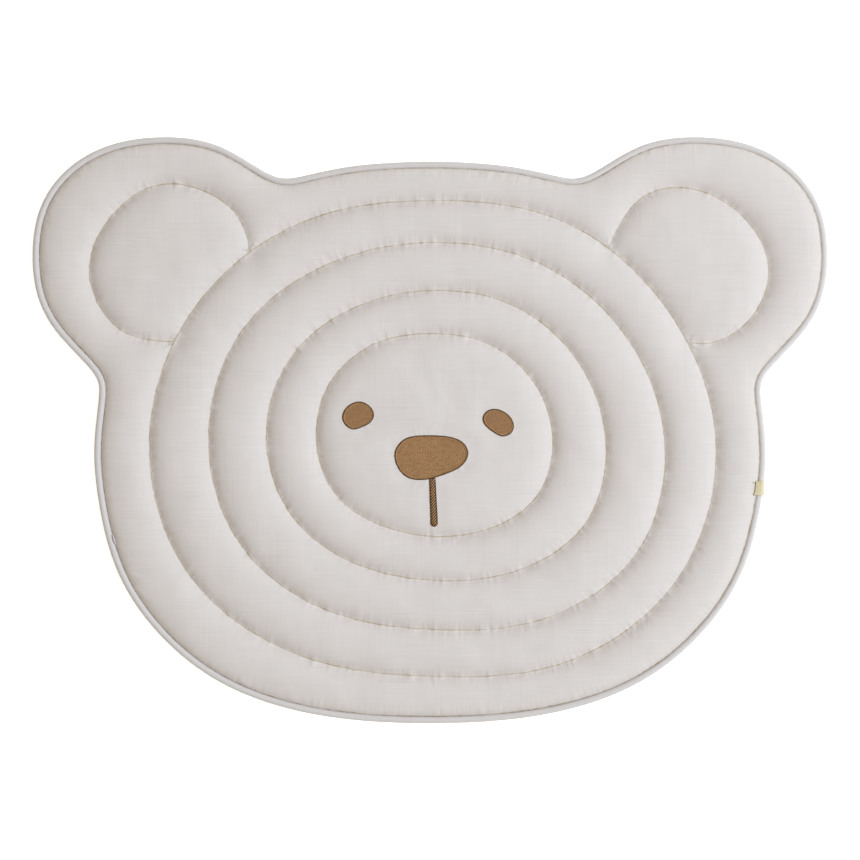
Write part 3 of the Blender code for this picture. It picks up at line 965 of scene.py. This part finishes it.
def linen_finish(colours):
    """Slub linen: a plain weave with uneven yarns each way, gathers at the seams, and painted shade in and
    beside its sewn channels.
    """
    cloth = Finish("linen", Roughness=0.9)
    cloth.shader.inputs["Specular IOR Level"].default_value = 0.2
    cloth.shader.inputs["Sheen Weight"].default_value = 0.10
    cloth.shader.inputs["Sheen Roughness"].default_value = 0.5
    place = cloth.place()
    across = cloth.clouds(place, (11, 620, 1), 2.0, 0.6)
    down = cloth.clouds(cloth.vector_maths("ADD", place, (3, 5, 0)), (560, 9, 1), 2.0, 0.6)
    slub_across = cloth.eased(across, 0.56, 0.76)
    slub_down = cloth.eased(down, 0.57, 0.77)
    thin_across = cloth.eased(across, 0.44, 0.28)
    thin_down = cloth.eased(down, 0.43, 0.27)
    mottle = cloth.clouds(place, 26, 3.0, 0.55)
    yarn = cloth.wave(cloth.axis(place, "X"), 0.0011) * cloth.wave(cloth.axis(place, "Y"), 0.0011)
    tone = 0.50 + 0.55 * slub_across + 0.40 * slub_down - 0.35 * thin_across - 0.35 * thin_down
    tone = tone + 0.6 * (mottle - 0.5) + 0.10 * yarn
    colour = cloth.mixed(tinted(colours.linen, 0.93), tinted(colours.linen, 1.07), tone)
    seam_gap = cloth.stored("seam_gap", "Fac")
    round_line = cloth.stored("seam_line", "Vector")
    # Painted shade in the crease of each sewn channel, stronger in patches and broken into dashes of painted
    # shadow, as of stitch holes
    crease_shade_patches = cloth.eased(cloth.clouds(round_line, 22), 0.38, 0.62)
    dash = cloth.eased(cloth.clouds(round_line, (120, 120, 60)), 0.48, 0.66)
    painted_crease_shade = cloth.eased(seam_gap, 0.0014, 0.0003) * (0.24 + 0.26 * crease_shade_patches + 0.40 * dash)
    # Painted shade: the linen beside each seam is mixed a little towards a warmer, darker colour
    colour = cloth.mixed(colour, colours.shade, 0.12 * cloth.eased(seam_gap, 0.008, 0.001))
    colour = cloth.mixed(colour, colours.painted_crease_shade, painted_crease_shade)
    fine = cloth.clouds(round_line, 300, 2.0, 0.55)
    fading = cloth.eased(seam_gap, 0.016, 0.001) * cloth.eased(seam_gap, 0.0002, 0.002)
    relief = 0.0007 * (fine - 0.5) * fading
    relief = relief + 0.00005 * (slub_across + slub_down) + 0.000015 * yarn
    return cloth.finished(colour, relief)


def piping_finish(colours, length, girth=0.030):
    """Smooth bias-cut cloth over a cord: a fine slanting grain and faint drag lines."""
    cloth = Finish("piping_sateen", Roughness=0.55)
    cloth.shader.inputs["Specular IOR Level"].default_value = 0.15
    cloth.shader.inputs["Sheen Weight"].default_value = 0.06
    around = cloth.node("ShaderNodeUVMap", {"uv_map": "UVMap"}, None, "UV")
    laid = cloth.vector_maths("MULTIPLY", around, (length, girth, 1))
    u, v = cloth.axis(laid, "X"), cloth.axis(laid, "Y")
    grain = cloth.wave(u + v, 0.0010)
    cross_grain = cloth.wave(u - v, 0.0010)
    slanted = cloth.node("ShaderNodeCombineXYZ", None, {"X": u + 0.8 * v, "Y": v}, "Vector")
    drag = cloth.clouds(slanted, (110, 25, 1))
    mottle = cloth.clouds(cloth.place(), 40)
    tone = 0.5 + 0.8 * (drag - 0.5) + 0.5 * (mottle - 0.5) + 0.06 * grain
    colour = cloth.mixed(tinted(colours.piping, 0.95), tinted(colours.piping, 1.05), tone)
    relief = 0.00022 * (drag - 0.5) + 0.000012 * (grain + cross_grain)
    return cloth.finished(colour, relief, 0.50 + 0.12 * mottle)


def quilting_finish(colours):
    """Twisted cotton thread in the seams."""
    thread = Finish("quilting_thread", Roughness=0.7)
    tone = thread.stored("tone", "Fac")
    ply = thread.clouds(thread.place(), 2400, 1.0)
    dark, light = tinted(colours.quilting, 0.72), tinted(colours.quilting, 1.25)
    colour = thread.mixed(dark, light, 0.6 * tone + 0.4 * ply)
    return thread.finished(colour, 0.00004 * ply)


def embroidery_finish(name, colours, dark_share=None, tones=(0.62, 1.30), depth=1.0):
    """Glossy embroidery thread. Each stitch has its own tone, and dark_share gives where it takes the dark
    colour, which is dark thread in places and painted shade in grooves, gaps and low places in others.
    """
    thread = Finish(name, Roughness=0.42)
    thread.shader.inputs["Specular IOR Level"].default_value = 0.15
    tone = thread.stored("tone", "Fac")
    ply = thread.clouds(thread.place(), 1700)
    low, high = (tinted(colours.thread, share) for share in tones)
    colour = thread.mixed(low, high, 0.07 + 0.50 * tone + 0.30 * ply)
    if dark_share is not None:
        colour = thread.mixed(colour, tinted(colours.dark_thread_and_shade, depth), dark_share(thread))
    return thread.finished(colour, 0.00005 * ply, 0.36 + 0.2 * ply)


def border_shade_share(thread):
    """Painted shade: 1 at the shaded outer edge of a patch's border and in the groove inside it, 0 on the
    crest, which keeps the thread's colour.
    """
    gap = thread.stored("edge_gap", "Fac")
    outer = thread.eased(gap, 0.0022, 0.0013)
    groove = thread.eased(gap, 0.0034, 0.0039)
    return 0.88 * thread.maths("MAXIMUM", outer, 0.65 * groove)


def tape_finish(colours):
    """Soft woven tape with a fine rib across it, with painted shade and a darker warm tone where it dips
    into the seam.
    """
    tape = Finish("straw_tape", Roughness=0.8)
    tape.shader.inputs["Sheen Weight"].default_value = 0.15
    across = tape.stored("across", "Fac")
    along = tape.stored("along", "Fac")
    rib = tape.wave(along, 0.0008)
    warp = tape.wave(across, 0.0007)
    mottle = tape.clouds(tape.place(), 420, 3.0, 0.6)
    dark, light = tinted(colours.tape, 0.92), tinted(colours.tape, 1.06)
    colour = tape.mixed(dark, light, 0.25 + 0.5 * mottle + 0.14 * rib)
    # Painted shade, together with a darker warm tone, where the tape's end dips into the seam
    end = tape.eased(along + 0.0040 * (mottle - 0.5), 0.0075, 0.0020)
    colour = tape.mixed(colour, colours.tape_end_shade_and_tone, 0.75 * end)
    return tape.finished(colour, 0.00003 * rib + 0.00002 * warp + 0.00004 * mottle)


def floor_finish(colours):
    """The pale seamless floor of the studio."""
    floor = Finish("studio_floor", Roughness=0.9)
    floor.shader.inputs["Emission Strength"].default_value = FLOOR_GLOW
    floor.shader.inputs["Emission Color"].default_value = (1, 1, 1, 1)
    mottle = floor.clouds(floor.place(), 3)
    colour = floor.mixed(tinted(colours.floor, 0.99), tinted(colours.floor, 1.01), mottle)
    return floor.finished(colour, 0.00002 * floor.clouds(floor.place(), 300))


def mat_shape(context):
    """The mat's shape from the scene's sizes."""
    return MatShape(context.scene.bear_pad, context.scene.bear_piping)


class BEAR_OT_quilted_pad(bpy.types.Operator):
    """Make the filled pad: crowned bands of linen between the sewn channels, flat underneath"""

    bl_idname = "bear_mat.quilted_pad"
    bl_label = "Quilted pad"

    def execute(self, context):
        pad = context.scene.bear_pad
        shape = mat_shape(context)
        motifs = list(shape.motifs.values())
        lines = [*shape.sewn, *motifs]
        top_net = cloth_net(shape.rim, lines, motifs, SEAM_ROWS, pad.fine_spacing, FINE_REACH)
        low_net = cloth_net(shape.rim, shape.sewn, [], (), pad.under_spacing, FINE_REACH)
        top = with_height(top_net[0] + shape.lean(top_net[0]), shape.top(top_net[0]))
        low = with_height(low_net[0], shape.underside(low_net[0]))
        mesh = sewn_solid("quilted_pad", (top, top_net[1]), (low, low_net[1]))
        gap, round_line = shape.nearest_seam(np.concatenate([top_net[0], low_net[0]]))
        stored_on(mesh, "seam_gap", gap)
        stored_on(mesh, "seam_line", round_line)
        mesh.shade_smooth()
        mesh.set_sharp_from_angle(angle=SHARP_ANGLE)
        finish = linen_finish(context.scene.bear_colours)
        piece = placed("quilted_pad", mesh, [finish], "linen", "pad")
        return {"FINISHED"}


class BEAR_OT_quilting_thread(bpy.types.Operator):
    """Lay the stitches in the sewn channels, above and below the pad"""

    bl_idname = "bear_mat.quilting_thread"
    bl_label = "Quilting thread"

    def execute(self, context):
        sizes = context.scene.bear_stitch
        shape = mat_shape(context)
        finish = quilting_finish(context.scene.bear_colours)
        half = sizes.thickness / 2
        widths = half * np.array([0.45, 1.0, 1.0, 0.45])
        shares = np.array([0.0, 0.28, 0.72, 1.0]) - 0.5
        arch = half * np.array([-0.8, 0.8, 0.8, -0.8])
        faces = (
            # piece, share of a pitch that its stitches are shifted, cloth that they lie on, side of it
            ("quilting_thread", 0.25, shape.top, 1),
            ("quilting_thread_below", 0.75, shape.underside, -1),
        )
        for name, shift, cloth, side in faces:
            places = []
            for line in shape.sewn:
                count = round(line.length / sizes.pitch)
                middles = (np.arange(count) + shift) * line.length / count
                stops = middles[:, None] + shares[None, :] * sizes.length
                stops = stops[(stops[:, 0] > 0) & (stops[:, -1] < line.length)]
                places.append(line.at(stops.ravel()))
            places = np.concatenate(places)
            heights = cloth(places).reshape(-1, 4) + side * arch
            points = with_height(places, heights.ravel()).reshape(-1, 4, 3)
            runs = [(run, widths) for run in points]
            starts = np.array([run[0][0][:2] for run in runs])
            tones = 0.5 + 0.5 * ripples(starts / WAVES["stitch tone"], 41)
            placed(name, threads(name, runs, tones), [finish], "linen")
        return {"FINISHED"}


class BEAR_OT_piping(bpy.types.Operator):
    """Run the covered cord round the edge, with the small fold where its ends meet"""

    bl_idname = "bear_mat.piping"
    bl_label = "Corded piping"

    def execute(self, context):
        sizes = context.scene.bear_piping
        shape = mat_shape(context)
        line = evenly_spaced(shape.cord.points, sizes.spacing)
        small = ripples(line / WAVES["small cord swell"], 52)
        swell = sizes.unevenness * (ripples(line / WAVES["cord swell"], 51) + 0.6 * small)
        drift = 0.00018 * ripples(line / WAVES["cord drift"], 53)
        line = line - left_of(directions(line)) * (np.abs(drift) + np.maximum(swell, 0))[:, None]
        places = with_height(line, np.full(len(line), sizes.height))
        mesh = swept("cord", [(places, sizes.radius + swell)], 6, closed=True)
        join = self.join_fold(sizes)
        finish = piping_finish(context.scene.bear_colours, shape.cord.length)
        whole = joined("corded_piping", [mesh, join])
        whole.shade_smooth()
        placed("corded_piping", whole, [finish, finish], "piping_sateen", "piping")
        return {"FINISHED"}

    @staticmethod
    def join_fold(sizes):
        """The slim lip of cloth that closes the piping where its two ends meet."""
        line = spline_through(PIPING_JOIN, 6, False)
        share = np.linspace(-1, 1, len(line))
        height = sizes.height + sizes.radius * (0.85 + 0.30 * (1 - share**2))
        widths = 0.0003 + 0.0008 * (1 - share**2)
        return threads("join", [(with_height(line, height), widths)], [0.5], 3)


class BEAR_OT_embroidery(bpy.types.Operator):
    """Stitch the eyes, the nose and the mouth, thread by thread"""

    bl_idname = "bear_mat.embroidery"
    bl_label = "Embroidered face"

    def execute(self, context):
        sizes, colours = context.scene.bear_embroidery, context.scene.bear_colours
        shape = mat_shape(context)
        fill = embroidery_finish("fill_thread", colours)
        # The border's thread takes painted shade at its outer edge and in its groove
        border = embroidery_finish("border_thread", colours, border_shade_share)
        # The underlay is darkened a little: painted shade in the gaps between the filling stitches
        ground = embroidery_finish("ground_thread", colours, lambda thread: 0.3)
        edge = embroidery_finish("edge_thread", colours, lambda thread: 0.9)
        # The mouth's underlay is nearly black: painted shade in the gaps between the strands
        pit = embroidery_finish("gap_shade_thread", colours, lambda thread: 0.95, depth=0.2)
        # The strands take the dark colour on their low sides, as painted shade
        rope = embroidery_finish(
            "rope_thread", colours, lambda thread: thread.stored("edge_gap", "Fac"), (0.9, 1.5), 0.2)
        chance = np.random.default_rng(7)
        for name, line in shape.motifs.items():
            if name == "mouth":
                meshes = [
                    self.backing(shape, line),
                    self.strands(shape, line, sizes, chance),
                    self.outline(shape, line, sizes),
                ]
                placed("mouth_embroidery", joined("mouth_embroidery", meshes), [pit, rope, edge],
                       "brown_thread", "mouth")
                continue
            piece = f"{name}_embroidery"
            meshes = [
                self.backing(shape, line),
                self.filling(shape, line, sizes, chance, 1.0 if name == "nose" else 0.6),
                self.edging(shape, line, sizes, chance),
            ]
            placed(piece, joined(piece, meshes), [ground, fill, border], "brown_thread", name)
        return {"FINISHED"}

    @staticmethod
    def backing(shape, line):
        """The underlay of thread that the stitches cover, sunk a little into the cloth."""
        places, faces = cloth_net(line, [], [], (), 0.0030, 1.0)
        ground = shape.top(places)
        share = np.clip(line.nearest(places)[0] / 0.0012, 0, 1)
        top = with_height(places, ground + 0.0011 * share - 0.0002)
        low = with_height(places, ground - 0.0008)
        mesh = sewn_solid("backing", (top, faces), (low, faces))
        mesh.shade_smooth()
        return mesh

    @staticmethod
    def rows(line, slant, pitch):
        """(start, end) of each straight row at that slant that lies inside the line."""
        way = np.array([math.cos(slant), math.sin(slant)])
        up = np.array([-way[1], way[0]])
        starts, ends = line.starts, line.starts + line.runs
        low, high = starts @ up, ends @ up
        found = []
        for level in np.arange(low.min() + pitch / 2, low.max(), pitch):
            crossed = (low > level) != (high > level)
            share = (level - low[crossed]) / (high - low)[crossed]
            cuts = np.sort((starts[crossed] + share[:, None] * line.runs[crossed]) @ way)
            for a, b in zip(cuts[::2], cuts[1::2]):
                found.append((a * way + level * up, b * way + level * up))
        return found

    def filling(self, shape, line, sizes, chance, lightest):
        """Rows of short stitches side by side, each row shifted from its neighbour."""
        inner = line.points - left_of(directions(line.points)) * (sizes.border - 0.0007)
        inner = SewnLine(inner, True, 0)
        half = sizes.thread / 2
        ends, tones = [], []
        for number, (start, end) in enumerate(self.rows(inner, sizes.fill_slant, sizes.row_pitch)):
            length = np.linalg.norm(end - start)
            stops = [0.0]
            reach = sizes.fill_length * (0.35 + 0.31 * (number % 3))
            while reach < length - 0.3 * sizes.fill_length:
                stops.append(reach)
                reach += sizes.fill_length * chance.uniform(0.7, 1.3)
            stops.append(length)
            for a, b in zip(stops[:-1], stops[1:]):
                ends.append((start + (end - start) * a / length, start + (end - start) * b / length))
                tones.append(lightest * chance.uniform(0, 1))
        shares = np.array([0.0, 0.2, 0.8, 1.0])
        lift = np.array([0.60, 0.98, 0.98, 0.60]) * sizes.fill_rise
        places = np.array([a + (b - a) * shares[:, None] for a, b in ends])
        places += chance.normal(0, 0.00006, places.shape)
        ground = shape.top(places.reshape(-1, 2)).reshape(len(ends), 4)
        uneven = chance.normal(0, 0.00005, (len(ends), 1))
        points = np.concatenate([places, (ground + lift + uneven)[:, :, None]], axis=2)
        widths = np.array([0.85, 1.6, 1.6, 0.85]) * half
        return threads("filling", [(p, widths) for p in points], tones)

    @staticmethod
    def edging(shape, line, sizes, chance):
        """Satin stitches side by side across the edge of a patch, arched over it."""
        count = round(line.length / sizes.border_pitch)
        along = (np.arange(count) + 0.5) * line.length / count
        edge = line.at(along)
        out = left_of(directions(edge))
        skew = 0.12 * directions(edge)
        shares = np.array([0.0, 0.14, 0.55, 0.84, 1.0])
        crest = sizes.border_rise
        rise = np.array([-0.0002, 0.50 * crest, crest, 0.66 * crest, 0.0003])
        jitter = chance.uniform(-0.00012, 0.00012, (count, 1))
        away = (shares * sizes.border)[None, :] - 0.0003 + jitter
        places = edge[:, None, :] - (out + skew)[:, None, :] * away[:, :, None]
        ground = shape.top(places.reshape(-1, 2)).reshape(count, 5)
        uneven = chance.normal(0, 0.00004, (count, 1))
        points = np.concatenate([places, (ground + rise + uneven)[:, :, None]], axis=2)
        widths = np.array([0.7, 1.0, 1.0, 1.0, 0.7]) * sizes.thread / 2
        mesh = threads("edging", [(p, widths) for p in points], chance.uniform(0, 1, count))
        corners = np.zeros(len(mesh.vertices) * 3)
        mesh.vertices.foreach_get("co", corners)
        gap = line.nearest(corners.reshape(-1, 3)[:, :2])
        wobble = 0.0007 * ripples(line.wrapped(gap[1]) / WAVES["border"], 61)
        inward = np.where(gap[2] < 0, gap[0], 0) + wobble
        # The distance in from the edge, with a wobble, places the border's painted shade
        stored_on(mesh, "edge_gap", inward)
        return mesh

    @staticmethod
    def outline(shape, line, sizes):
        """The dark cord that borders the mouth."""
        inset = line.points - left_of(directions(line.points)) * sizes.outline / 4
        places = with_height(inset, shape.top(inset) + 0.3 * sizes.outline)
        return swept("outline", [(places, np.full(len(places), sizes.outline / 2))], 1, closed=True)

    def strands(self, shape, line, sizes, chance):
        """Slanting strands laid across the mouth like the turns of a rope."""
        ends = self.rows(line, sizes.strand_slant, sizes.strand_pitch)
        shares = np.array([0.0, 0.1, 0.25, 0.5, 0.75, 0.9, 1.0])
        arch = np.sqrt(np.clip(1 - (2 * shares - 1) ** 2, 0, 1))
        runs = []
        for start, end in ends:
            length = np.linalg.norm(end - start)
            if length < SHORTEST_STRAND:
                continue
            places = start + (end - start) * shares[:, None]
            crest = sizes.mouth_rise * min(1.0, length / FULL_STRAND) - 0.5 * sizes.strand
            height = shape.top(places) - 0.0003 + (crest + 0.0003) * arch
            widths = sizes.strand / 2 * (0.6 + 0.4 * arch)
            runs.append((with_height(places, height), widths))
        tones = chance.uniform(0.45, 0.8, len(runs))
        mesh = threads("strands", runs, tones, 2)
        values = np.zeros(len(mesh.vertices) * 3)
        mesh.vertices.foreach_get("co", values)
        values = values.reshape(-1, 3)
        above = values[:, 2] - shape.top(values[:, :2])
        # Painted shade: the strands' low sides, in the gaps between them, are stored to take the dark colour
        low = 1 - smooth_step(0.0010, 0.0019, above)
        stored_on(mesh, "edge_gap", 0.95 * low)
        return mesh


class BEAR_OT_side_tape(bpy.types.Operator):
    """Fold the small tape over the piping on the right"""

    bl_idname = "bear_mat.side_tape"
    bl_label = "Folded tape"

    def execute(self, context):
        sizes, piping = context.scene.bear_tape, context.scene.bear_piping
        shape = mat_shape(context)
        # out from the middle of the cord as a share of the way to the fold, and up from it
        profile = spline_through((
            (-1.08, 0.0044), (-0.60, 0.0050), (-0.20, 0.0054), (0.25, 0.0056),
            (0.70, 0.0036), (0.97, 0.0009), (1.00, -0.0002), (0.96, -0.0012),
            (0.70, -0.0030), (0.25, -0.0054), (-0.20, -0.0056), (-0.44, -0.0046)), 4, False)
        lengths = np.linalg.norm(np.diff(profile * (TAPE_REACH, 1), axis=0), axis=1)
        along = np.concatenate([[0], np.cumsum(lengths)])
        columns = 15
        ways = np.linspace(-0.5, 0.5, columns) * sizes.width
        levels = sizes.middle + ways
        centre = self.cord_beside(shape, levels)
        work = bmesh.new()
        bmesh.ops.create_grid(work, x_segments=len(profile) - 1, y_segments=columns - 1, size=0.5)
        work.verts.ensure_lookup_table()
        along_layer = work.verts.layers.float.new("along")
        across_layer = work.verts.layers.float.new("across")
        for corner in work.verts:
            i = round((corner.co.x + 0.5) * (len(profile) - 1))
            j = round((corner.co.y + 0.5) * (columns - 1))
            out, up = profile[i]
            reach = sizes.fold - sizes.thickness / 2 - centre[j]
            sway = 0.00025 * math.sin(3.1 * j / columns + 0.4 * i)
            curl = 0.0019 * smooth_step(-0.3, -1.1, out) * smooth_step(0.3, 1.0, j / (columns - 1))
            place = (centre[j] + out * reach - curl, levels[j] + sway)
            height = piping.height + up + 0.4 * sway
            if up > 0 and out < 0:
                height = max(height, shape.top(np.array([place]) - (0.0025, 0))[0] + 0.0008)
            corner.co = (*place, height)
            corner[along_layer] = along[i]
            corner[across_layer] = ways[j]
        bmesh.ops.recalc_face_normals(work, faces=work.faces)
        mesh = mesh_from("folded_tape", work)
        mesh.shade_smooth()
        finish = tape_finish(context.scene.bear_colours)
        piece = placed("folded_tape", mesh, [finish], "straw_tape", "side_tape")
        solid = piece.modifiers.new("tape thickness", "SOLIDIFY")
        solid.thickness = sizes.thickness
        solid.offset = 0
        tack = np.array(TAPE_TACK)
        heights = shape.top(tack) + np.array([-0.0003, 0.0003, 0.0003, -0.0003])
        thread = threads("tape_tack", [(with_height(tack, heights), np.full(4, TACK_RADIUS))], [0.2])
        finish = embroidery_finish("tack_thread", context.scene.bear_colours, lambda thread: 0.85)
        placed("tape_tack", thread, [finish], "brown_thread")
        return {"FINISHED"}

    @staticmethod
    def cord_beside(shape, levels):
        """Where the middle of the cord lies along X at each level on the right."""
        points = shape.cord.points
        right = points[(points[:, 0] > 0.3) & (np.abs(points[:, 1] - levels.mean()) < 0.03)]
        order = np.argsort(right[:, 1])
        return np.interp(levels, right[order, 1], right[order, 0])


class BEAR_OT_studio(bpy.types.Operator):
    """Lay the pale floor, hang the soft lights and set the camera above the mat"""

    bl_idname = "bear_mat.studio"
    bl_label = "Studio"

    def execute(self, context):
        scene, studio = context.scene, context.scene.bear_studio
        work = bmesh.new()
        bmesh.ops.create_grid(work, x_segments=8, y_segments=8, size=FLOOR_HALF_WIDTH)
        bmesh.ops.translate(work, verts=work.verts, vec=(0, 0, -FLOOR_DROP))
        mesh = mesh_from("studio_floor", work)
        mesh.materials.append(floor_finish(scene.bear_colours))
        floor = bpy.data.objects.new("studio_floor", mesh)
        scene.collection.objects.link(floor)
        self.soft_light(scene, studio)
        world = bpy.data.worlds.new("soft fill")
        world.use_nodes = True
        background = world.node_tree.nodes["Background"]
        background.inputs["Color"].default_value = GLOW_COLOUR
        background.inputs["Strength"].default_value = studio.fill_light
        scene.world = world
        lens = bpy.data.cameras.new("camera")
        lens.lens = studio.lens
        lens.sensor_width = SENSOR_WIDTH
        camera = bpy.data.objects.new("camera", lens)
        camera.location = (0, 0, studio.view_height)
        scene.collection.objects.link(camera)
        scene.camera = camera
        scene.view_settings.view_transform = "Standard"
        return {"FINISHED"}

    @staticmethod
    def soft_light(scene, studio):
        """The large square light on the right, which faces the middle of the mat."""
        lamp = bpy.data.lights.new("key", "AREA")
        lamp.shape = "SQUARE"
        lamp.size = studio.key_size
        lamp.energy = studio.key_power
        lamp.color = KEY_COLOUR
        light = bpy.data.objects.new("key", lamp)
        light.location = KEY_PLACE
        light.rotation_euler = (-Vector(KEY_PLACE)).to_track_quat("-Z", "Y").to_euler()
        scene.collection.objects.link(light)


class BEAR_PT_maker(bpy.types.Panel):
    """Lists the pieces of the mat, each with its sizes"""

    bl_idname = "BEAR_PT_maker"
    bl_label = "Bear mat"
    bl_space_type = "VIEW_3D"
    bl_region_type = "UI"
    bl_category = "Bear Mat"

    def draw(self, context):
        for operator, group in PIECES:
            box = self.layout.box()
            box.operator(operator.bl_idname)
            self.list_settings(box, getattr(context.scene, group))
        self.layout.label(text="Colours")
        self.list_settings(self.layout, context.scene.bear_colours)

    @staticmethod
    def list_settings(layout, settings):
        """Shows each property of a group."""
        for name in settings.bl_rna.properties.keys():
            if name not in ("rna_type", "name"):
                layout.prop(settings, name)


SETTINGS = (
    # name on the scene, group
    ("bear_pad", PadSizes),
    ("bear_stitch", StitchSizes),
    ("bear_piping", PipingSizes),
    ("bear_embroidery", EmbroiderySizes),
    ("bear_tape", TapeSizes),
    ("bear_colours", MatColours),
    ("bear_studio", StudioSettings),
)

PIECES = (
    # operator, its settings on the scene
    (BEAR_OT_quilted_pad, "bear_pad"),
    (BEAR_OT_quilting_thread, "bear_stitch"),
    (BEAR_OT_piping, "bear_piping"),
    (BEAR_OT_embroidery, "bear_embroidery"),
    (BEAR_OT_side_tape, "bear_tape"),
    (BEAR_OT_studio, "bear_studio"),
)


def register():
    """Adds the settings, the operators and the panel to Blender."""
    for name, group in SETTINGS:
        bpy.utils.register_class(group)
        setattr(bpy.types.Scene, name, bpy.props.PointerProperty(type=group))
    for operator, _ in PIECES:
        bpy.utils.register_class(operator)
    bpy.utils.register_class(BEAR_PT_maker)


def unregister():
    """Takes them away again, in reverse order."""
    bpy.utils.unregister_class(BEAR_PT_maker)
    for operator, _ in reversed(PIECES):
        bpy.utils.unregister_class(operator)
    for name, group in reversed(SETTINGS):
        delattr(bpy.types.Scene, name)
        bpy.utils.unregister_class(group)


def main():
    """Makes every piece in order."""
    register()
    bpy.ops.bear_mat.quilted_pad()
    bpy.ops.bear_mat.quilting_thread()
    bpy.ops.bear_mat.piping()
    bpy.ops.bear_mat.embroidery()
    bpy.ops.bear_mat.side_tape()
    bpy.ops.bear_mat.studio()


if __name__ == "__main__":
    main()
